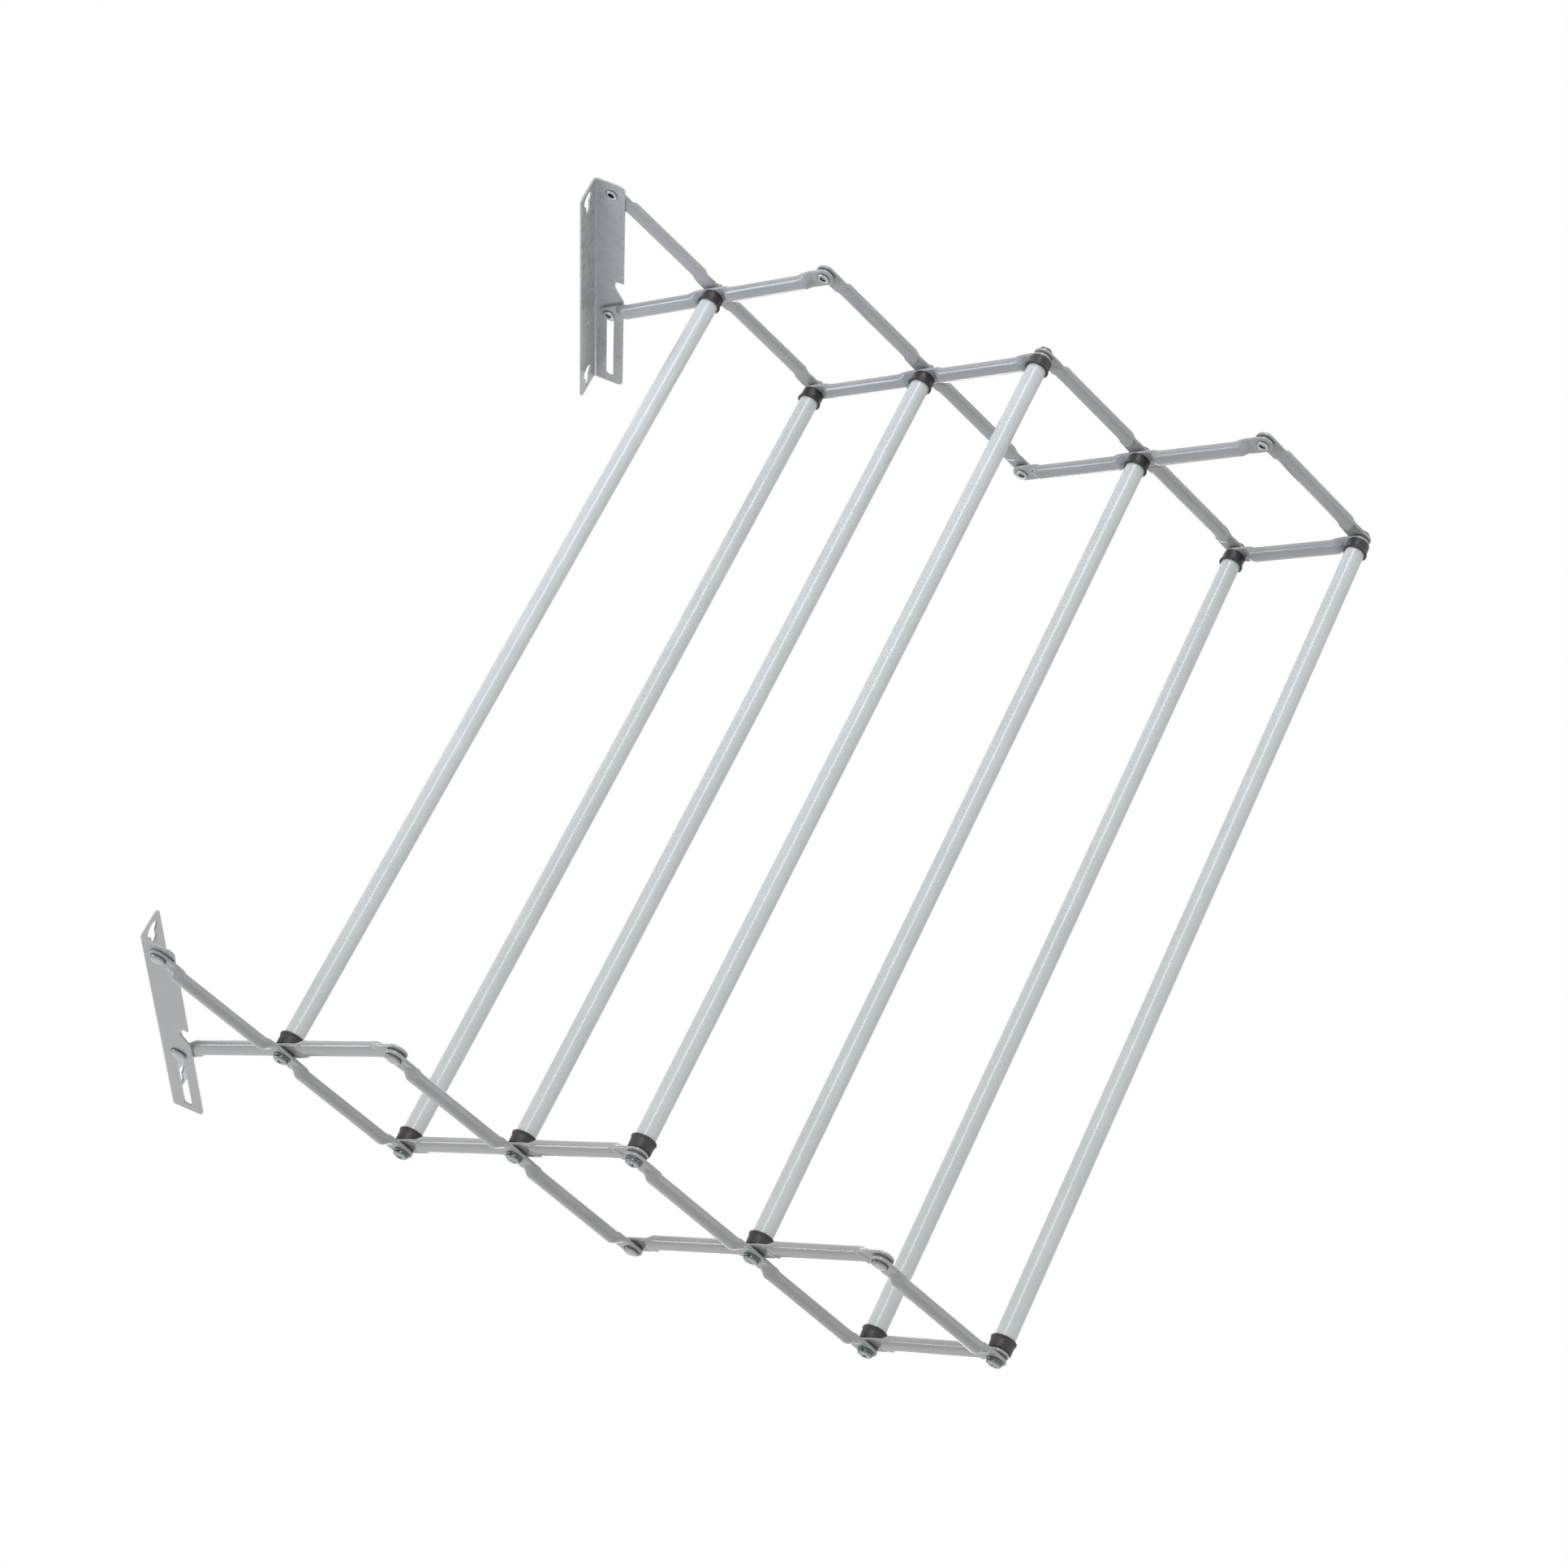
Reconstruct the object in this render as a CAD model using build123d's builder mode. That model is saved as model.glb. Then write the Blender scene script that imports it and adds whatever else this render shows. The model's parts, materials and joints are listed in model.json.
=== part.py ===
import math
import os

from build123d import *

# Pull-out concertina drying rack for a wall.
# X runs along the rails, the wall is the plane Y = 0, the rack opens towards -Y and +Z is up.
# The origin lies on the wall, midway between the brackets, level with the middle fixing holes.

os.makedirs("parts", exist_ok=True)

# Scissor linkage
half_bar = 93.0  # pivot to pivot along a bar
open_angle = 40.0  # slope of the bars when the rack is pulled out
fold_angle = 84.0  # slope of the bars when it is pushed to the wall
bracket_spread = 580.0  # between the middle planes of the two bracket flanges

# Bars, tubes that are pressed flat at each pivot
flat_width = 12.5
flat_thick = 2.0
flat_reach = 8.5  # pivot to the end of the flat
flat_edge = 0.9  # edge radius of the flat
tube_wide = 10.5
tube_deep = 6.0
tube_edge = 2.8
press_shoulder = 3.5  # length of the first, steep part of the press mark
press_runout = 8.0  # length of the shallow rest of it
shoulder_rise = 0.55  # share of the tube's depth that the shoulder reaches

# Wall brackets, folded sheet angles
sheet = 1.2
wall_leg = 21.0
flange_leg = 21.0
bend_inside = 1.5
pivot_from_wall = 12.0
pivot_from_end = 10.0
slot_end_margin = 9.2  # last pin position to the top of the bracket
fixing_from_end = 135.0
fixing_hole = 4.5
foot_corner = 5.0
head_corner = 3.5
plate_corner = 3.5
keyhole_wide = 10.5
keyhole_narrow = 5.2
keyhole_drop = 11.0  # centre of the wide part to the centre of the narrow end
keyhole_margin = 3.5  # keyhole to the end of the plate
notch_height = 19.0
notch_depth = 6.0
notch_hook = 7.5  # straight back of the notch, above its lower edge
notch_below = 1.4  # room under the first cross washer when folded
notch_corner = 2.8

# Pins, screws and washers
pin = 5.0
running_gap = 0.08  # radial play of a pin in its hole
side_gap = 0.15  # play between a bar and the flange or washer beside it
head_gap = 0.1
rivet_head = 9.8
rivet_head_rise = 2.2
rivet_tail = 7.8
rivet_tail_rise = 1.2
rivet_bore = 4.0
rivet_bore_depth = 3.0
washer_wide = 11.0
screw_head = 8.8
screw_head_rise = 3.2
screw_crown = 1.2  # part of the head's rise that is domed
screw_collar = 10.0
screw_collar_thick = 0.8
screw_thread = 4.0
screw_thread_length = 14.0

# Rails and their end bushes
rail_wide = 12.0
rail_wall = 0.8
bush_base_wall = 0.8  # cup wall beside the rail at the base, the waist and the lip
bush_waist_wall = 0.9
bush_rim_wall = 1.5
bush_length = 7.5
bush_floor = 2.0
bush_lip = 0.7
bush_flare = 2.2
bush_spigot = 16.0
fit_gap = 0.05

# Values that follow from the sizes above
bar_gap = sheet + 2 * side_gap
mid_x = bracket_spread / 2
outer_mate = mid_x + bar_gap / 2
inner_mate = mid_x - bar_gap / 2
outer_face = outer_mate + flat_thick
inner_face = inner_mate - flat_thick
pin_radius = pin / 2
pin_hole = pin_radius + running_gap
rail_end = inner_face - bush_floor
rail_radius = rail_wide / 2

step_out = half_bar * math.cos(math.radians(open_angle))
step_up = half_bar * math.sin(math.radians(open_angle))
cross_reach = half_bar * math.sin(math.radians(fold_angle))
pivot_low = pivot_from_end - fixing_from_end
bracket_low = -fixing_from_end
slot_low = pivot_low + 2 * step_up
slot_high = pivot_low + 2 * cross_reach
bracket_high = slot_high + slot_end_margin


def joint_point(steps, level):
    return Vector(0, -(pivot_from_wall + steps * step_out), pivot_low + level * step_up)


# Half steps out from the wall, and the level: 0 bottom, 1 crossing, 2 top
rail_joints = [(1, 1), (2, 2), (3, 1), (4, 0), (5, 1), (6, 2), (7, 1)]
rivet_joints = {"first_tip_rivets": (2, 0), "second_tip_rivets": (4, 2), "third_tip_rivets": (6, 0)}
washer_joints = {
    "first_pair_washers": [(1, 1), (2, 0)],
    "second_pair_washers": [(2, 2), (3, 1), (4, 0)],
    "third_pair_washers": [(4, 2), (5, 1), (6, 0)],
    "fourth_pair_washers": [(6, 2), (7, 1)],
}


def save(part, name):
    part.label = name
    export_step(part, f"parts/{name}.step")


def save_both_sides(part, name):
    save(part, f"right_{name}")
    with BuildPart() as left_copy:
        mirror(part, about=Plane.YZ)
    save(left_copy.part, f"left_{name}")


def turning_plane(point):
    # A profile drawn here has its radius along local x, and local y is the distance along X
    return Plane(origin=point, x_dir=(0, -1, 0), z_dir=(0, 0, 1))


def turning_axis(point):
    return Axis(point, (1, 0, 0))


# Wall bracket: an angle with a wall plate that points to the middle and a flange that carries the pivots
flange_outside = mid_x + sheet / 2
flange_inside = mid_x - sheet / 2
plate_end = flange_outside - wall_leg
keyhole_x = (flange_inside - bend_inside + plate_end) / 2
pivot_y = -pivot_from_wall
notch_low = pivot_low + cross_reach - washer_wide / 2 - notch_below
notch_high = notch_low + notch_height
foot_keyhole_z = bracket_low + keyhole_margin + keyhole_wide / 2
head_keyhole_z = bracket_high - keyhole_margin - keyhole_narrow / 2 - keyhole_drop

with BuildPart() as wall_bracket:
    with BuildSketch(Plane.XY.offset(bracket_low)) as angle_profile:
        with BuildLine():
            Polyline(
                (flange_outside, -flange_leg),
                (flange_outside, 0),
                (plate_end, 0),
                (plate_end, -sheet),
                (flange_inside, -sheet),
                (flange_inside, -flange_leg),
                close=True,
            )
        make_face()
        fillet(angle_profile.vertices().sort_by_distance((flange_outside, 0))[0], bend_inside + sheet)
        fillet(angle_profile.vertices().sort_by_distance((flange_inside, -sheet))[0], bend_inside)
    extrude(amount=bracket_high - bracket_low)

    # Slot for the sliding pin, and the hole of the fixed pivot
    with BuildSketch(Plane.YZ.offset(flange_inside)):
        with Locations((pivot_y, (slot_low + slot_high) / 2)):
            SlotCenterToCenter(slot_high - slot_low, 2 * pin_hole, rotation=90)
        with Locations((pivot_y, pivot_low)):
            Circle(pin_hole)
    extrude(amount=sheet, mode=Mode.SUBTRACT)

    # Hooked notch that takes the first cross washer when the rack is folded
    with BuildSketch(Plane.YZ.offset(flange_inside)) as notch:
        with BuildLine():
            Polyline(
                (-flange_leg - notch_depth, notch_low),
                (-flange_leg + notch_depth, notch_low),
                (-flange_leg + notch_depth, notch_low + notch_hook),
                (-flange_leg - notch_depth, 2 * notch_high - notch_low - notch_hook),
                close=True,
            )
        make_face()
        fillet(notch.vertices().group_by(Axis.X)[-1], notch_corner)
    extrude(amount=sheet, mode=Mode.SUBTRACT)

    # Keyholes, wide end down, and the round fixing hole between them
    with BuildSketch(Plane.XZ):
        with Locations((keyhole_x, foot_keyhole_z), (keyhole_x, head_keyhole_z)):
            Circle(keyhole_wide / 2)
        with Locations(
            (keyhole_x, foot_keyhole_z + keyhole_drop / 2), (keyhole_x, head_keyhole_z + keyhole_drop / 2)
        ):
            SlotCenterToCenter(keyhole_drop, keyhole_narrow, rotation=90)
        with Locations((keyhole_x, 0)):
            Circle(fixing_hole / 2)
    extrude(amount=sheet, mode=Mode.SUBTRACT)

    plate_corners = wall_bracket.edges().filter_by(Axis.Y).group_by(Axis.X)[0]
    fillet(plate_corners, plate_corner)
    front_edges = wall_bracket.edges().filter_by(Axis.X).group_by(Axis.Y)[0].sort_by(Axis.Z)
    fillet(front_edges[0], foot_corner)
    front_edges = wall_bracket.edges().filter_by(Axis.X).group_by(Axis.Y)[0].sort_by(Axis.Z)
    fillet(front_edges[-1], head_corner)

save_both_sides(wall_bracket.part, "wall_bracket")


# Bars: a flat at every pivot, and between the flats a tube that bulges away from the bar beside it
def make_bar(name, steps, level, climb, spans, mate_x, bulge):
    start = joint_point(steps, level) + Vector(mate_x, 0, 0)
    along = Vector(0, -step_out, climb * step_up).normalized()
    across = Vector(bulge, 0, 0).cross(along)

    def section_plane(distance, depth):
        centre = start + along * distance + Vector(bulge * depth / 2, 0, 0)
        return Plane(origin=centre, x_dir=across, z_dir=along)

    with BuildPart() as bar:
        for pivot in range(spans + 1):
            plane = Plane(origin=start + along * pivot * half_bar, x_dir=along, z_dir=(bulge, 0, 0))
            with BuildSketch(plane):
                if pivot in (0, spans):
                    Circle(flat_width / 2)
                if pivot > 0:
                    with Locations((-flat_reach / 2, 0)):
                        Rectangle(flat_reach, flat_width)
                if pivot < spans:
                    with Locations((flat_reach / 2, 0)):
                        Rectangle(flat_reach, flat_width)
                Circle(pin_hole, mode=Mode.SUBTRACT)
            extrude(amount=flat_thick)
        for span in range(spans):
            near = span * half_bar + flat_reach
            far = (span + 1) * half_bar - flat_reach
            shoulder_deep = flat_thick + shoulder_rise * (tube_deep - flat_thick)
            shoulder_wide = (flat_width + tube_wide) / 2
            shoulder_edge = (flat_edge + tube_edge) / 2
            stations = [
                (near, flat_width, flat_thick, flat_edge),
                (near + press_shoulder, shoulder_wide, shoulder_deep, shoulder_edge),
                (near + press_shoulder + press_runout, tube_wide, tube_deep, tube_edge),
                (far - press_shoulder - press_runout, tube_wide, tube_deep, tube_edge),
                (far - press_shoulder, shoulder_wide, shoulder_deep, shoulder_edge),
                (far, flat_width, flat_thick, flat_edge),
            ]
            for distance, width, depth, edge in stations:
                with BuildSketch(section_plane(distance, depth)):
                    RectangleRounded(width, depth, edge)
            loft(ruled=True)
    save_both_sides(bar.part, name)


for number in range(1, 5):
    bar_spans = 2 if number < 4 else 1
    make_bar(f"outer_bar_{number}", 2 * number - 2, 0, 1, bar_spans, outer_mate, 1)
    make_bar(f"inner_bar_{number}", 2 * number - 2, 2, -1, bar_spans, inner_mate, -1)

# Rails with their end bushes and screws
for number, rail_joint in enumerate(rail_joints, start=1):
    point = joint_point(*rail_joint)

    with BuildPart() as rail:
        with BuildSketch(Plane(origin=point, x_dir=(0, 1, 0), z_dir=(1, 0, 0))):
            Circle(rail_radius)
            Circle(rail_radius - rail_wall, mode=Mode.SUBTRACT)
        extrude(amount=rail_end, both=True)
    save(rail.part, f"rail_{number}")

    # Cup with a flared lip outside the rail, and a spigot inside it that the screw bites into
    rim_x = inner_face - bush_length
    with BuildPart() as bush:
        with BuildSketch(turning_plane(point)):
            with BuildLine():
                base = (rail_radius + bush_base_wall, inner_face)
                waist = (rail_radius + bush_waist_wall, rim_x + bush_lip + bush_flare)
                lip = (rail_radius + bush_rim_wall, rim_x + bush_lip)
                Line((screw_thread / 2 + fit_gap, inner_face), base)
                Line(base, waist)
                TangentArc(waist, lip, tangent=(0, -1))
                Polyline(
                    lip,
                    (rail_radius + bush_rim_wall, rim_x),
                    (rail_radius + fit_gap, rim_x),
                    (rail_radius + fit_gap, rail_end),
                    (rail_radius - rail_wall - fit_gap, rail_end),
                    (rail_radius - rail_wall - fit_gap, inner_face - bush_spigot),
                    (screw_thread / 2 + fit_gap, inner_face - bush_spigot),
                    (screw_thread / 2 + fit_gap, inner_face),
                )
            make_face()
        revolve(axis=turning_axis(point))
    save_both_sides(bush.part, f"bush_{number}")

    # Shoulder screw: the bars turn on its shoulder, which seats on the bush
    under_head = outer_face + head_gap
    head_side = under_head + screw_head_rise - screw_crown
    with BuildPart() as screws:
        with BuildSketch(turning_plane(point)):
            with BuildLine():
                crown_top = (0, under_head + screw_head_rise)
                crown_edge = (screw_head / 2, head_side)
                TangentArc(crown_top, crown_edge, tangent=(1, 0))
                Polyline(
                    crown_edge,
                    (screw_head / 2, under_head + screw_collar_thick),
                    (screw_collar / 2, under_head + screw_collar_thick),
                    (screw_collar / 2, under_head),
                    (pin_radius, under_head),
                    (pin_radius, inner_face),
                    (screw_thread / 2, inner_face),
                    (screw_thread / 2, inner_face - screw_thread_length),
                    (0, inner_face - screw_thread_length),
                    crown_top,
                )
            make_face()
        revolve(axis=turning_axis(point))
        mirror(about=Plane.YZ)
    save(screws.part, f"rail_{number}_screws")


# Semi-tubular rivets: a domed head outside and a rolled hollow tail inside
def make_rivets(name, steps, level, head_seat, tail_seat):
    point = joint_point(steps, level)
    tail_end = tail_seat - rivet_tail_rise
    with BuildPart() as rivets:
        with BuildSketch(turning_plane(point)):
            with BuildLine():
                dome_top = (0, head_seat + rivet_head_rise)
                dome_edge = (rivet_head / 2, head_seat)
                tail_edge = (rivet_tail / 2, tail_seat)
                tail_roll = (rivet_bore / 2, tail_end)
                TangentArc(dome_top, dome_edge, tangent=(1, 0))
                Polyline(dome_edge, (pin_radius, head_seat), (pin_radius, tail_seat), tail_edge)
                TangentArc(tail_edge, tail_roll, tangent=(0, -1))
                Polyline(
                    tail_roll,
                    (rivet_bore / 2, tail_end + rivet_bore_depth),
                    (0, tail_end + rivet_bore_depth),
                    dome_top,
                )
            make_face()
        revolve(axis=turning_axis(point))
        mirror(about=Plane.YZ)
    save(rivets.part, name)


make_rivets("fixed_pivot_rivets", 0, 0, outer_face + head_gap, flange_inside)
make_rivets("sliding_pin_rivets", 0, 2, flange_outside + side_gap, inner_face)
for name, (steps, level) in rivet_joints.items():
    make_rivets(name, steps, level, outer_face + head_gap, inner_face)

# Spacer washers, as thick as the flange, keep the bars apart at every other pivot
for name, joints in washer_joints.items():
    with BuildPart() as washers:
        for steps, level in joints:
            point = joint_point(steps, level) + Vector(inner_mate, 0, 0)
            with BuildSketch(Plane(origin=point, x_dir=(0, 1, 0), z_dir=(1, 0, 0))):
                Circle(washer_wide / 2)
                Circle(pin_hole, mode=Mode.SUBTRACT)
        extrude(amount=bar_gap - side_gap)
        mirror(about=Plane.YZ)
    save(washers.part, name)
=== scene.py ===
import json
import math
import bmesh
import bpy
from mathutils import Matrix, Vector


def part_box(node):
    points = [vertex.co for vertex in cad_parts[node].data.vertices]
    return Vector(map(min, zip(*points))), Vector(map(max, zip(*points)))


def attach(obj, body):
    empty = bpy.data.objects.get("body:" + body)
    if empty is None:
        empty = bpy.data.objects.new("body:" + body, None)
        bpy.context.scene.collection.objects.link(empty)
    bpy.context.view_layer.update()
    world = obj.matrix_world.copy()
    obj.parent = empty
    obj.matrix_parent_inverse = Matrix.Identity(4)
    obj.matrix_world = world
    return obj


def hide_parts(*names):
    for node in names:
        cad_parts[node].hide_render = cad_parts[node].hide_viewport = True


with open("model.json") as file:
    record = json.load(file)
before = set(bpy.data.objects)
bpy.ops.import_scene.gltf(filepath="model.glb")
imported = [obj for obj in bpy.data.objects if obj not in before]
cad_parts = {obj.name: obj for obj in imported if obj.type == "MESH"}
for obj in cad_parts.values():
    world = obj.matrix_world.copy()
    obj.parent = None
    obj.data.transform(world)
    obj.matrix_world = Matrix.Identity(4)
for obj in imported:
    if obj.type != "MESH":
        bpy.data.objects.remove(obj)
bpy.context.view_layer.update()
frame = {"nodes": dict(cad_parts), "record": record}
scene = bpy.context.scene
scene.view_settings.view_transform = "Standard"
nodeBody = {node: body for body, nodes in frame["record"]["behaviour"]["bodies"].items()
            for node in nodes}
perMetre = 1000  # millimetres in a metre
railNumbers = range(1, 8)
print("frame loaded,", len(frame["nodes"]), "nodes")

# finishes, span is the part of each noise that is used
grainLook = {"detail": 4.0, "roughness": 0.55, "span": (0.3, 0.7)}


def newFinish(name):
    finish = bpy.data.materials.new(name)
    finish.use_nodes = True
    tree = finish.node_tree
    shader = tree.nodes["Principled BSDF"]
    place = tree.nodes.new("ShaderNodeTexCoord")
    return finish, tree, shader, place.outputs["Object"]


def speckle(tree, place, scale, detail=grainLook["detail"]):
    noise = tree.nodes.new("ShaderNodeTexNoise")
    noise.inputs["Scale"].default_value = scale
    noise.inputs["Detail"].default_value = detail
    noise.inputs["Roughness"].default_value = grainLook["roughness"]
    tree.links.new(place, noise.inputs["Vector"])
    return noise.outputs["Fac"]


def tintBetween(tree, factor, low, high):
    ramp = tree.nodes.new("ShaderNodeValToRGB")
    for element, stop, tint in zip(ramp.color_ramp.elements, grainLook["span"], (low, high)):
        element.position = stop
        element.color = (*tint, 1)
    tree.links.new(factor, ramp.inputs["Fac"])
    return ramp.outputs["Color"]


def rangeBetween(tree, factor, low, high):
    spread = tree.nodes.new("ShaderNodeMapRange")
    spread.inputs["From Min"].default_value = grainLook["span"][0]
    spread.inputs["From Max"].default_value = grainLook["span"][1]
    spread.inputs["To Min"].default_value = low
    spread.inputs["To Max"].default_value = high
    tree.links.new(factor, spread.inputs["Value"])
    return spread.outputs["Result"]


def dimple(tree, shader, height, strength, distance):
    bump = tree.nodes.new("ShaderNodeBump")
    bump.inputs["Strength"].default_value = strength
    bump.inputs["Distance"].default_value = distance
    tree.links.new(height, bump.inputs["Height"])
    tree.links.new(bump.outputs["Normal"], shader.inputs["Normal"])


coatLook = {
    "bracket": {
        "low": (0.383, 0.388, 0.400), "high": (0.409, 0.415, 0.426), "gloss": (0.26, 0.30),
        "ripple": 0.00010, "lacquer": 0.10, "film": 0.12,
    },
    "bar": {
        "low": (0.322, 0.325, 0.328), "high": (0.350, 0.353, 0.356), "gloss": (0.17, 0.20),
        "ripple": 0.00012, "lacquer": 0.55, "film": 0.09,
    },
    "rail": {
        "low": (0.528, 0.551, 0.546), "high": (0.572, 0.593, 0.589), "gloss": (0.24, 0.26),
        "ripple": 0.00020, "lacquer": 0.25, "film": 0.20,
    },
}
coatGrain = {"cloud": 38, "flow": 150, "flowDetail": 1.0, "sheen": 160, "strength": 1.0}


def sprayCoat(name, look):
    finish, tree, shader, place = newFinish(name)
    cloud = speckle(tree, place, coatGrain["cloud"])
    flow = speckle(tree, place, coatGrain["flow"], coatGrain["flowDetail"])  # slow ripple
    sheen = speckle(tree, place, coatGrain["sheen"])
    tint = tintBetween(tree, cloud, look["low"], look["high"])
    tree.links.new(tint, shader.inputs["Base Color"])
    tree.links.new(rangeBetween(tree, sheen, *look["gloss"]), shader.inputs["Roughness"])
    dimple(tree, shader, flow, coatGrain["strength"], look["ripple"])
    shader.inputs["Coat Weight"].default_value = look["lacquer"]
    shader.inputs["Coat Roughness"].default_value = look["film"]
    return finish


bracketCoat = sprayCoat("bracketCoat", coatLook["bracket"])
barCoat = sprayCoat("barCoat", coatLook["bar"])
railCoat = sprayCoat("railCoat", coatLook["rail"])

plasticLook = {
    "bush": {"low": (0.022, 0.018, 0.018), "high": (0.036, 0.030, 0.029), "gloss": (0.38, 0.52)},
    "washer": {"low": (0.05, 0.05, 0.05), "high": (0.08, 0.08, 0.08), "gloss": (0.45, 0.6)},
}
plasticGrain = {
    "cloud": 120, "sheen": 300, "pore": 2600, "poreDetail": 3.0, "strength": 0.12, "depth": 0.0001,
}


def mouldedPlastic(name, look):
    finish, tree, shader, place = newFinish(name)
    cloud = speckle(tree, place, plasticGrain["cloud"])
    sheen = speckle(tree, place, plasticGrain["sheen"])
    pore = speckle(tree, place, plasticGrain["pore"], plasticGrain["poreDetail"])
    tint = tintBetween(tree, cloud, look["low"], look["high"])
    tree.links.new(tint, shader.inputs["Base Color"])
    tree.links.new(rangeBetween(tree, sheen, *look["gloss"]), shader.inputs["Roughness"])
    dimple(tree, shader, pore, plasticGrain["strength"], plasticGrain["depth"])
    return finish


bushPlastic = mouldedPlastic("bushPlastic", plasticLook["bush"])
washerNylon = mouldedPlastic("washerNylon", plasticLook["washer"])

# each metal look ends with the dark colour of the painted shade for crevices, recesses and bores
metalLook = {
    "zinc": {
        "low": (0.36, 0.40, 0.40), "high": (0.45, 0.49, 0.49), "gloss": (0.20, 0.30),
        "paintedShade": (0.050, 0.060, 0.058),
    },
    "rivet": {
        "low": (0.40, 0.41, 0.41), "high": (0.49, 0.50, 0.50), "gloss": (0.18, 0.28),
        "paintedShade": (0.055, 0.056, 0.056),
    },
}
metalGrain = {
    "cloud": 260, "sheen": 900, "dent": 700, "dentDetail": 2.0, "strength": 0.03, "depth": 0.0001,
}
mixPorts = {"share": 0, "bright": 6, "paintedShade": 7, "result": 2}  # colour sockets of the mix node


def platedMetal(name, look):
    finish, tree, shader, place = newFinish(name)
    cloud = speckle(tree, place, metalGrain["cloud"])
    sheen = speckle(tree, place, metalGrain["sheen"])
    dent = speckle(tree, place, metalGrain["dent"], metalGrain["dentDetail"])
    # painted shade: a per-point attribute mixes the dark colour into the metal where shade falls,
    # down the heads' sides, at the seats, in the recesses and in the bores
    paintedShadeAttribute = tree.nodes.new("ShaderNodeAttribute")
    paintedShadeAttribute.attribute_name = "paintedShading"  # set ring by ring where the part is turned
    paintedShadeMix = tree.nodes.new("ShaderNodeMix")
    paintedShadeMix.data_type = "RGBA"
    tint = tintBetween(tree, cloud, look["low"], look["high"])
    tree.links.new(paintedShadeAttribute.outputs["Fac"], paintedShadeMix.inputs[mixPorts["share"]])
    tree.links.new(tint, paintedShadeMix.inputs[mixPorts["bright"]])
    paintedShadeMix.inputs[mixPorts["paintedShade"]].default_value = (*look["paintedShade"], 1)
    tree.links.new(paintedShadeMix.outputs[mixPorts["result"]], shader.inputs["Base Color"])
    shader.inputs["Metallic"].default_value = 1.0
    tree.links.new(rangeBetween(tree, sheen, *look["gloss"]), shader.inputs["Roughness"])
    dimple(tree, shader, dent, metalGrain["strength"], metalGrain["depth"])
    return finish


zincPlate = platedMetal("zincPlate", metalLook["zinc"])
rivetSteel = platedMetal("rivetSteel", metalLook["rivet"])
print("finishes made")


# shared mesh helpers
def pieceFromFaces(name, verts, faces, finish, sharpAngle, paintedShading=None):
    mesh = bpy.data.meshes.new(name)
    mesh.from_pydata(verts, [], faces)
    if paintedShading:
        # painted shade values, one per point, for the metal finish
        mesh.attributes.new("paintedShading", "FLOAT", "POINT").data.foreach_set("value", paintedShading)
    shell = bmesh.new()
    shell.from_mesh(mesh)
    bmesh.ops.recalc_face_normals(shell, faces=shell.faces)
    shell.to_mesh(mesh)
    shell.free()
    mesh.shade_smooth()
    mesh.set_sharp_from_angle(angle=math.radians(sharpAngle))
    mesh.materials.append(finish)
    piece = bpy.data.objects.new(name, mesh)
    scene.collection.objects.link(piece)
    return piece


def addTurned(verts, faces, profile, axisPoint, side, segments):
    # profile rows are (distance along X, radius) in metres, side is +1 right or -1 left
    rings = []
    for along, radius in profile:
        if radius == 0:
            rings.append([len(verts)])
            verts.append((side * along, axisPoint.y, axisPoint.z))
            continue
        ring = []
        for step in range(segments):
            angle = 2 * math.pi * step / segments
            ring.append(len(verts))
            verts.append((side * along, axisPoint.y + radius * math.cos(angle),
                          axisPoint.z + radius * math.sin(angle)))
        rings.append(ring)
    for first, second in zip(rings, rings[1:]):
        for step in range(segments):
            after = (step + 1) % segments
            if len(first) == 1:
                faces.append((first[0], second[step], second[after]))
            elif len(second) == 1:
                faces.append((first[step], second[0], first[after]))
            else:
                faces.append((first[step], second[step], second[after], first[after]))


def turnedRows(rows, seat):
    # rows are (distance from the seat, radius, painted shade), the first two in millimetres
    return [(seat + along / perMetre, radius / perMetre) for along, radius, paintedShade in rows]


def ringPaintedShading(rows, segments):
    # one painted shade value for every point that addTurned makes from the same rows
    return [paintedShade for along, radius, paintedShade in rows for step in range(segments if radius > 0 else 1)]


def axisOf(node):
    low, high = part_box(node)
    return (low + high) / 2


def standFor(piece, node):
    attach(piece, nodeBody[node])
    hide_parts(node)


# bars, tube pressed flat at every pivot
barLook = {
    "endRadius": 0.00625, "flatThick": 0.0020, "flatEdge": 0.0008, "leastThick": 0.0003,
    "tubeHalf": 0.00525, "tubeDeep": 0.0060, "seamHeight": 0.0024, "crownPower": 2.3, "keelPower": 3,
    "noseStart": 0.0075, "noseCurve": 0.0045, "noseLength": 0.0065,
    "backStart": 0.0092, "backLength": 0.0042,
    "padStart": 0.0092, "padBorder": 0.0012, "padRise": 0.00042, "padRiseAtBracket": 0.00012,
    "facePoints": 29, "endSteps": 14, "endFrom": 4, "endSweep": 86, "leastSquare": 1e-9,
    "fineFrom": 0.007, "fineTo": 0.018, "fineStep": 0.0005, "coarseStep": 0.002, "lastGap": 1e-6,
    "sharp": 50,
}


def ease(value):
    value = min(max(value, 0.0), 1.0)
    return value * value * (3 - 2 * value)


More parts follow.
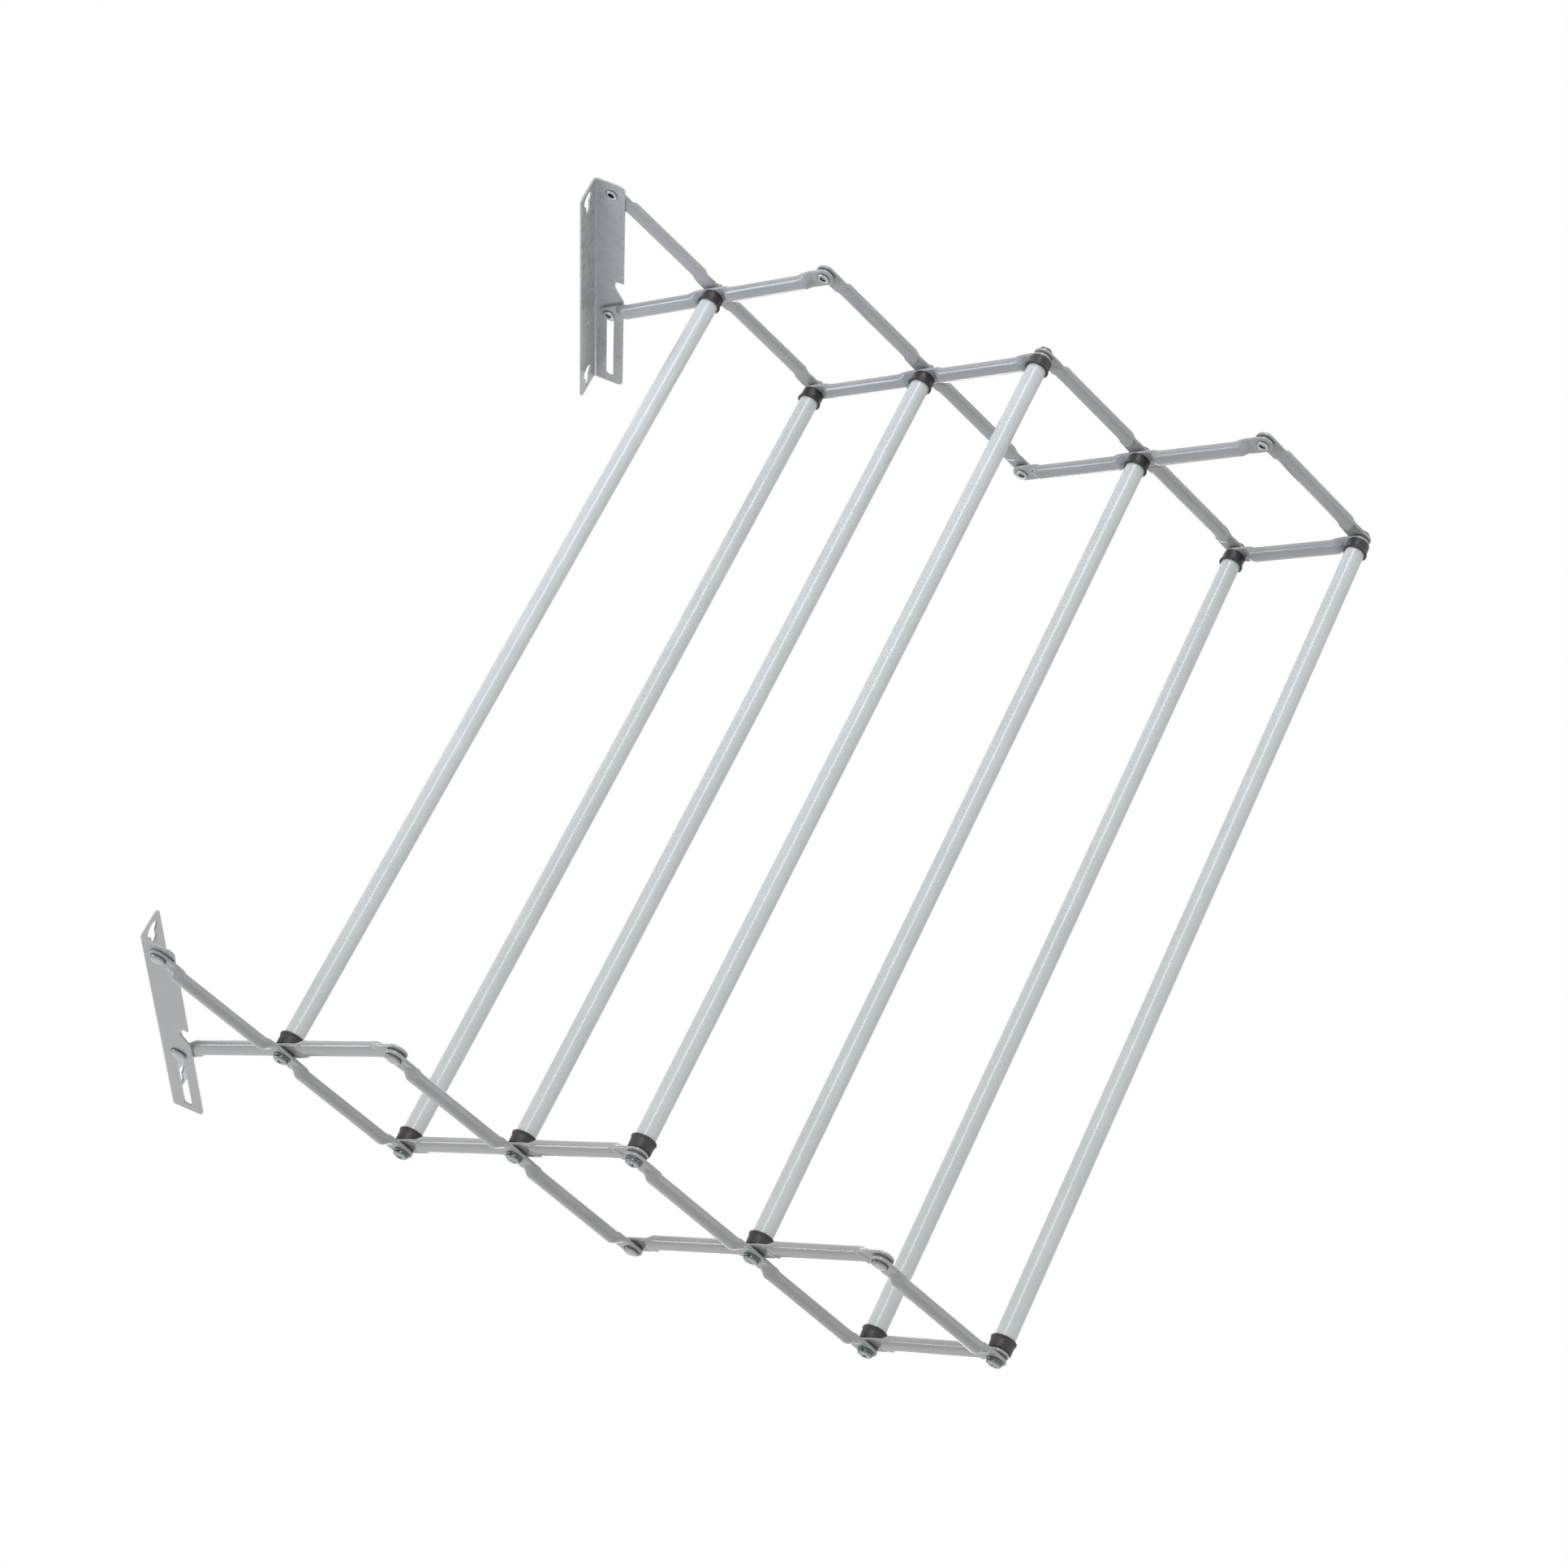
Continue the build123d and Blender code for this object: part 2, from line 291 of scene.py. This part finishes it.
def barHeights(look, past, across, half, toPivot, padRise):
    # top and bottom of the bar above its mating plane, past is how far beyond the end pivot
    fromEdge = look["endRadius"] - math.hypot(past, across) if past > 0 else half - abs(across)
    short = look["flatEdge"] - min(max(fromEdge, 0.0), look["flatEdge"])
    drop = look["flatEdge"] - math.sqrt(max(look["flatEdge"] ** 2 - short ** 2, 0.0))
    share = min(abs(across) / half, 1.0)
    crown = (1 - share ** look["crownPower"]) ** (1 / look["crownPower"])
    keel = 1 - (1 - share ** look["keelPower"]) ** (1 / look["keelPower"])
    tubeTop = look["seamHeight"] + (look["tubeDeep"] - look["seamHeight"]) * crown
    tubeLow = look["seamHeight"] * keel
    bow = look["noseCurve"] * share ** 2
    rise = ease((toPivot - look["noseStart"] - bow) / look["noseLength"])
    sink = ease((toPivot - look["backStart"] - bow) / look["backLength"])
    pad = ease((toPivot - look["padStart"] - bow) / look["padBorder"])  # spoon-shaped press mark
    top = (look["flatThick"] - drop) * (1 - rise) + tubeTop * rise
    low = drop * (1 - sink) + tubeLow * sink - padRise * pad
    return max(top, low + look["leastThick"]), low


def barStations(look, length, pivots):
    endSteps = look["endSteps"]
    stations = []
    for step in range(endSteps):  # round end
        angle = math.radians(look["endFrom"] + look["endSweep"] * step / endSteps)
        stations.append(-look["endRadius"] * math.cos(angle))
    along = 0.0
    while along < length - look["lastGap"]:
        stations.append(along)
        nearest = min(abs(along - pivot) for pivot in pivots)
        fine = look["fineFrom"] < nearest < look["fineTo"]
        along += look["fineStep"] if fine else look["coarseStep"]
    stations.append(length)
    stations += [length - value for value in reversed(stations[:endSteps])]
    return stations


def makeBar(node):
    look = barLook
    low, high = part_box(node)
    radius = look["endRadius"]
    outer = "outer" in node
    bulge = (1 if node.startswith("right") else -1) * (1 if outer else -1)
    mateX = low.x if bulge > 0 else high.x
    start = Vector((mateX, high.y - radius, low.z + radius if outer else high.z - radius))
    end = Vector((mateX, low.y + radius, high.z - radius if outer else low.z + radius))
    length = (end - start).length
    alongWay = (end - start).normalized()
    acrossWay = Vector((bulge, 0, 0)).cross(alongWay)
    pivots = [0.0, length] if node.endswith("4") else [0.0, length / 2, length]
    # the first bars fold flat on the flange, so their press marks stand out less
    padRise = look["padRiseAtBracket"] if node.endswith("1") else look["padRise"]
    count = look["facePoints"]
    verts, faces = [], []
    stations = barStations(look, length, pivots)
    for along in stations:
        past = max(-along, along - length, 0.0)
        toPivot = min(abs(along - pivot) for pivot in pivots)
        if past > 0:
            half = math.sqrt(max(radius ** 2 - past ** 2, look["leastSquare"]))
        else:
            narrow = ease((toPivot - look["noseStart"]) / (2 * look["noseLength"]))
            half = radius + (look["tubeHalf"] - radius) * narrow
        upper, lower = [], []
        for step in range(count):
            across = half * math.sin(math.pi * (step / (count - 1) - 0.5))
            top, bottom = barHeights(look, past, across, half, toPivot, padRise)
            base = start + alongWay * along + acrossWay * across
            upper.append(base + Vector((bulge * top, 0, 0)))
            lower.append(base + Vector((bulge * bottom, 0, 0)))
        verts += upper + lower[::-1]
    ringSize = 2 * count
    lastRing = (len(stations) - 1) * ringSize
    for here in range(0, lastRing, ringSize):
        there = here + ringSize
        for step in range(ringSize):
            after = (step + 1) % ringSize
            faces.append((here + step, here + after, there + after, there + step))
    faces.append(tuple(range(ringSize)))
    faces.append(tuple(lastRing + step for step in range(ringSize)))
    piece = pieceFromFaces(node + ".pressed", verts, faces, barCoat, look["sharp"])
    standFor(piece, node)


for side in ("left", "right"):
    for layer in ("outer", "inner"):
        for number in range(1, 5):
            makeBar(f"{side}_{layer}_bar_{number}")
print("16 bars pressed")

# rails
railLook = {"radius": 0.0060, "wall": 0.0008, "segments": 72, "sharp": 40}
for number in railNumbers:
    node = f"rail_{number}"
    low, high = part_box(node)
    radius, bore = railLook["radius"], railLook["radius"] - railLook["wall"]
    verts, faces = [], []
    profile = [(low.x, bore), (low.x, radius), (high.x, radius), (high.x, bore), (low.x, bore)]
    addTurned(verts, faces, profile, axisOf(node), 1, railLook["segments"])
    rail = pieceFromFaces(node + ".tube", verts, faces, railCoat, railLook["sharp"])
    standFor(rail, node)
print("7 rails drawn")

# end bushes, rows are (distance from the base that sits on the bar, radius) in millimetres
bushLook = {
    "segments": 64, "sharp": 40,
    "profile": [(2.0, 0.0), (2.0, 6.05), (7.2, 6.05), (7.42, 6.18), (7.5, 6.4), (7.5, 7.15),
                (7.42, 7.4), (7.22, 7.5), (6.85, 7.5), (6.5, 7.4), (6.1, 7.22), (5.6, 7.05),
                (5.0, 6.95), (4.2, 6.9), (0.5, 6.82), (0.15, 6.72), (0.0, 6.5), (0.0, 0.0)],
}
for side, sign in (("left", -1), ("right", 1)):
    for number in railNumbers:
        node = f"{side}_bush_{number}"
        low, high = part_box(node)
        base = high.x if sign > 0 else -low.x
        verts, faces = [], []
        profile = [(base - along / perMetre, radius / perMetre)
                   for along, radius in bushLook["profile"]]
        addTurned(verts, faces, profile, axisOf(node), sign, bushLook["segments"])
        bush = pieceFromFaces(node + ".cup", verts, faces, bushPlastic, bushLook["sharp"])
        standFor(bush, node)
print("14 bushes turned")

# cross-recess screws, seat under the head, turns are the angles of the recesses in degrees
screwLook = {
    "segments": 56, "sharp": 35, "headRise": 0.0032,
    "recessReach": 0.0024, "recessWide": 0.00052, "recessDeep": 0.0019,
    "recessOver": 0.001, "floorReach": 0.5, "floorWide": 0.75, "pitPaintedShade": 0.8,
    "turns": [18, 63, 40, 5, 77, 31, 52, 12, 84, 27, 58, 71, 3, 46],
    # the third value of each row is painted shade, darker down the head's side, at its seat and on
    # the shank
    "profile": [(3.2, 0.0, 0.0), (3.17, 1.3, 0.0), (3.08, 2.3, 0.05), (2.92, 3.1, 0.1),
                (2.68, 3.75, 0.3), (2.36, 4.18, 0.6), (2.0, 4.38, 0.75), (1.6, 4.4, 0.8),
                (0.95, 4.4, 0.85), (0.82, 4.52, 0.7), (0.8, 4.75, 0.4), (0.76, 4.92, 0.4),
                (0.6, 5.0, 0.7), (0.2, 5.0, 0.85), (0.04, 4.94, 0.9), (0.0, 4.8, 0.9),
                (0.0, 2.5, 0.9), (-5.6, 2.5, 0.6), (-5.6, 0.0, 0.6)],
}


def recessCutter(verts, faces, look, top, axisPoint, side, turn):
    # plus-shaped pit that narrows towards its floor
    first = len(verts)
    cosTurn, sinTurn = math.cos(math.radians(turn)), math.sin(math.radians(turn))
    levels = ((-look["recessOver"], 1.0, 1.0),
              (look["recessDeep"], look["floorReach"], look["floorWide"]))
    for depth, reachShare, wideShare in levels:
        reach, wide = look["recessReach"] * reachShare, look["recessWide"] * wideShare
        outline = [(reach, -wide), (reach, wide), (wide, wide), (wide, reach),
                   (-wide, reach), (-wide, wide), (-reach, wide), (-reach, -wide),
                   (-wide, -wide), (-wide, -reach), (wide, -reach), (wide, -wide)]
        for y, z in outline:
            verts.append((side * (top - depth), axisPoint.y + cosTurn * y - sinTurn * z,
                          axisPoint.z + sinTurn * y + cosTurn * z))
    corners = len(outline)
    floor = first + corners
    faces.append(tuple(first + step for step in range(corners)))
    faces.append(tuple(floor + step for step in reversed(range(corners))))
    for step in range(corners):
        after = (step + 1) % corners
        faces.append((first + step, floor + step, floor + after, first + after))


def cutRecess(piece, cutter, sharpAngle):
    cut = piece.modifiers.new("recess", "BOOLEAN")
    cut.operation = "DIFFERENCE"
    cut.solver = "EXACT"
    cut.object = cutter
    bpy.context.view_layer.update()
    cutPiece = piece.evaluated_get(bpy.context.evaluated_depsgraph_get())
    shaped = bpy.data.meshes.new_from_object(cutPiece)
    piece.modifiers.clear()
    piece.data = shaped
    shaped.shade_smooth()
    shaped.set_sharp_from_angle(angle=math.radians(sharpAngle))
    bpy.data.objects.remove(cutter)


for number in railNumbers:
    node = f"rail_{number}_screws"
    low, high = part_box(node)
    rows, sharp = screwLook["profile"], screwLook["sharp"]
    profile = turnedRows(rows, high.x - screwLook["headRise"])
    verts, faces, pitVerts, pitFaces = [], [], [], []
    for index, sign in enumerate((1, -1)):
        addTurned(verts, faces, profile, axisOf(node), sign, screwLook["segments"])
        turn = screwLook["turns"][2 * (number - 1) + index]
        recessCutter(pitVerts, pitFaces, screwLook, high.x, axisOf(node), sign, turn)
    # painted shade on the turned rings, and over the recess cutter so that the recess walls come out
    # darker
    paintedShading = 2 * ringPaintedShading(rows, screwLook["segments"])
    pitPaintedShading = [screwLook["pitPaintedShade"]] * len(pitVerts)
    screws = pieceFromFaces(node + ".turned", verts, faces, zincPlate, sharp, paintedShading)
    pit = pieceFromFaces(node + ".pit", pitVerts, pitFaces, zincPlate, sharp, pitPaintedShading)
    cutRecess(screws, pit, sharp)
    standFor(screws, node)
print("14 screws made")

# semi-tubular rivets, the head rows start at the head's seat and the tail rows at the tail's seat
rivetLook = {
    "segments": 56, "sharp": 40, "headRise": 0.0022, "tailRise": 0.0012,
    # the third value of each row is painted shade, darker towards the head's rim and seat, around the
    # tail's rim and down the bore
    "head": [(2.2, 0.0, 0.0), (2.14, 1.2, 0.0), (1.98, 2.3, 0.0), (1.7, 3.3, 0.1),
             (1.32, 4.1, 0.4), (0.9, 4.6, 0.7), (0.5, 4.84, 0.85), (0.2, 4.88, 0.9),
             (0.04, 4.8, 0.9), (0.0, 4.6, 0.9), (0.0, 2.5, 0.9)],
    "tail": [(0.0, 2.5, 0.9), (0.0, 3.6, 0.9), (-0.12, 3.82, 0.85), (-0.4, 3.88, 0.6),
             (-0.7, 3.7, 0.2), (-0.98, 3.3, 0.0), (-1.16, 2.8, 0.0), (-1.2, 2.4, 0.0),
             (-1.12, 2.05, 0.1), (-0.85, 1.85, 0.6), (-0.4, 1.78, 0.9), (2.8, 1.75, 1.0),
             (3.2, 1.3, 1.0), (3.4, 0.0, 1.0)],
}
for name in ("fixed_pivot", "sliding_pin", "first_tip", "second_tip", "third_tip"):
    node = f"{name}_rivets"
    low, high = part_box(node)
    innerEnd = min(abs(vertex.co.x) for vertex in frame["nodes"][node].data.vertices)
    profile = turnedRows(rivetLook["head"], high.x - rivetLook["headRise"])
    profile += turnedRows(rivetLook["tail"], innerEnd + rivetLook["tailRise"])
    verts, faces = [], []
    for sign in (1, -1):
        addTurned(verts, faces, profile, axisOf(node), sign, rivetLook["segments"])
    # painted shade on the turned rings of heads and tails
    paintedShading = 2 * ringPaintedShading(rivetLook["head"] + rivetLook["tail"], rivetLook["segments"])
    rivets = pieceFromFaces(node + ".turned", verts, faces, rivetSteel, rivetLook["sharp"], paintedShading)
    standFor(rivets, node)
print("10 rivets made")

# brackets and washers keep the CAD shape, the bracket edges are softened
bracketLook = {"weld": 0.00001, "edge": 0.00035, "segments": 2, "angle": 35}
for side in ("left", "right"):
    bracket = frame["nodes"][f"{side}_wall_bracket"]
    bracket.data.materials.clear()
    bracket.data.materials.append(bracketCoat)
    weld = bracket.modifiers.new("weld", "WELD")
    weld.merge_threshold = bracketLook["weld"]
    soften = bracket.modifiers.new("soften", "BEVEL")
    soften.width = bracketLook["edge"]
    soften.segments = bracketLook["segments"]
    soften.limit_method = "ANGLE"
    soften.angle_limit = math.radians(bracketLook["angle"])
    soften.harden_normals = True
for name in ("first", "second", "third", "fourth"):
    washers = frame["nodes"][f"{name}_pair_washers"]
    washers.data.materials.clear()
    washers.data.materials.append(washerNylon)
print("brackets and washers finished")

# camera at the photograph's angle, below the rack and rolled with it
cameraLook = {
    "lens": 93.17, "sensor": 36, "clipEnd": 100, "roll": -174.99,
    "spot": (1.1284, -0.6581, -2.0935), "aim": (0.0105, -0.2629, -0.0587),
}
spot, aim = Vector(cameraLook["spot"]), Vector(cameraLook["aim"])
forward = (aim - spot).normalized()
level = forward.cross(Vector((0, 0, 1))).normalized()
upright = level.cross(forward)
roll = math.radians(cameraLook["roll"])
viewRight = math.cos(roll) * level + math.sin(roll) * upright
viewUp = -math.sin(roll) * level + math.cos(roll) * upright


def poseFrom(place, rightWay, upWay, backWay):
    return Matrix.Translation(place) @ Matrix((rightWay, upWay, backWay)).transposed().to_4x4()


lensData = bpy.data.cameras.new("photoCamera")
lensData.lens = cameraLook["lens"]
lensData.sensor_width = cameraLook["sensor"]
lensData.clip_end = cameraLook["clipEnd"]
camera = bpy.data.objects.new("photoCamera", lensData)
scene.collection.objects.link(camera)
camera.matrix_world = poseFrom(spot, viewRight, viewUp, -forward)
scene.camera = camera


# soft studio light, offsets and targets are (right, up, back) in the camera's own directions
def besideAim(offset):
    right, up, back = offset
    return aim + viewRight * right + viewUp * up - forward * back


def softLamp(name, look):
    data = bpy.data.lights.new(name, "AREA")
    data.shape = "RECTANGLE"
    data.size, data.size_y = look["size"]  # the first side lies along the rails
    data.energy = look["power"]
    data.color = look["tint"]
    data.spread = math.radians(look["spread"])
    lamp = bpy.data.objects.new(name, data)
    scene.collection.objects.link(lamp)
    place = besideAim(look["offset"])
    away = (place - besideAim(look["target"])).normalized()
    railWay = (Vector((1, 0, 0)) - away * away.x).normalized()
    lamp.matrix_world = poseFrom(place, railWay, away.cross(railWay), away)


plainLamp = {"tint": (1.0, 1.0, 1.0), "spread": 180, "target": (0, 0, 0)}
lampLook = {
    "keyLamp": {"offset": (-1.3, 1.5, 1.5), "size": (1.4, 0.9), "power": 4},
    "stripLamp": {"offset": (0.16, 1.72, 1.0), "size": (2.4, 0.42), "power": 20,
                  "tint": (0.93, 0.965, 1.0)},
    "sideLamp": {"offset": (-2.0, -0.15, 0.1), "size": (1.0, 0.5), "power": 8},
    "lowLamp": {"offset": (-0.10, -0.90, -1.80), "size": (0.9, 0.45), "power": 3},
    "fillLamp": {"offset": (1.8, -0.6, 1.2), "size": (1.4, 1.4), "power": 3},
    "backLamp": {"offset": (0.4, 1.2, -2.0), "size": (1.6, 1.6), "power": 10},
    # two narrow cool beams on the far side
    "farLamp": {"offset": (-1.5, 0.40, 0.80), "size": (0.5, 0.4), "power": 0.25,
                "tint": (0.35, 0.55, 1.0), "spread": 28, "target": (0.10, 0.22, -0.20)},
    "flangeLamp": {"offset": (-0.26, -0.53, 0.775), "size": (0.15, 0.15), "power": 0.02,
                   "tint": (0.75, 0.88, 1.0), "spread": 12, "target": (-0.109, 0.323, -0.1925)},
}
for name, look in lampLook.items():
    softLamp(name, {**plainLamp, **look})


def seenShare(tree):
    # 1 for camera, glossy and transmission rays, 0 for the rest
    path = tree.nodes.new("ShaderNodeLightPath")
    total = path.outputs["Is Camera Ray"]
    for name in ("Is Glossy Ray", "Is Transmission Ray"):
        either = tree.nodes.new("ShaderNodeMath")
        either.operation = "MAXIMUM"
        tree.links.new(total, either.inputs[0])
        tree.links.new(path.outputs[name], either.inputs[1])
        total = either.outputs[0]
    return total


def chooseBySight(tree, unseen, seen, output):
    choose = tree.nodes.new("ShaderNodeMixShader")
    tree.links.new(seenShare(tree), choose.inputs[0])
    tree.links.new(unseen.outputs[0], choose.inputs[1])
    tree.links.new(seen.outputs[0], choose.inputs[2])
    tree.links.new(choose.outputs[0], tree.nodes[output].inputs["Surface"])


# white to look at, softer as a source of light
worldLook = {"white": 1.0, "ambient": 0.66}
world = bpy.data.worlds.new("studio")
scene.world = world
world.use_nodes = True
plain = world.node_tree.nodes["Background"]
plain.inputs["Color"].default_value = (1, 1, 1, 1)
plain.inputs["Strength"].default_value = worldLook["ambient"]
white = world.node_tree.nodes.new("ShaderNodeBackground")
white.inputs["Color"].default_value = (1, 1, 1, 1)
white.inputs["Strength"].default_value = worldLook["white"]
chooseBySight(world.node_tree, plain, white, "World Output")

floorLook = {
    "height": -3.05, "half": 30.0, "tint": (0.82, 0.82, 0.82), "roughness": 0.9, "glow": 1.0,
}
half, height = floorLook["half"], floorLook["height"]
corners = [(-half, -half, height), (half, -half, height), (half, half, height), (-half, half, height)]
floorMesh = bpy.data.meshes.new("floor")
floorMesh.from_pydata(corners, [], [(0, 1, 2, 3)])
floor = bpy.data.objects.new("floor", floorMesh)
scene.collection.objects.link(floor)
paleFloor = bpy.data.materials.new("paleFloor")
paleFloor.use_nodes = True
matt = paleFloor.node_tree.nodes["Principled BSDF"]
matt.inputs["Base Color"].default_value = (*floorLook["tint"], 1)
matt.inputs["Roughness"].default_value = floorLook["roughness"]
glow = paleFloor.node_tree.nodes.new("ShaderNodeEmission")
glow.inputs["Strength"].default_value = floorLook["glow"]
chooseBySight(paleFloor.node_tree, matt, glow, "Material Output")
floorMesh.materials.append(paleFloor)
print("camera, lamps and floor set")
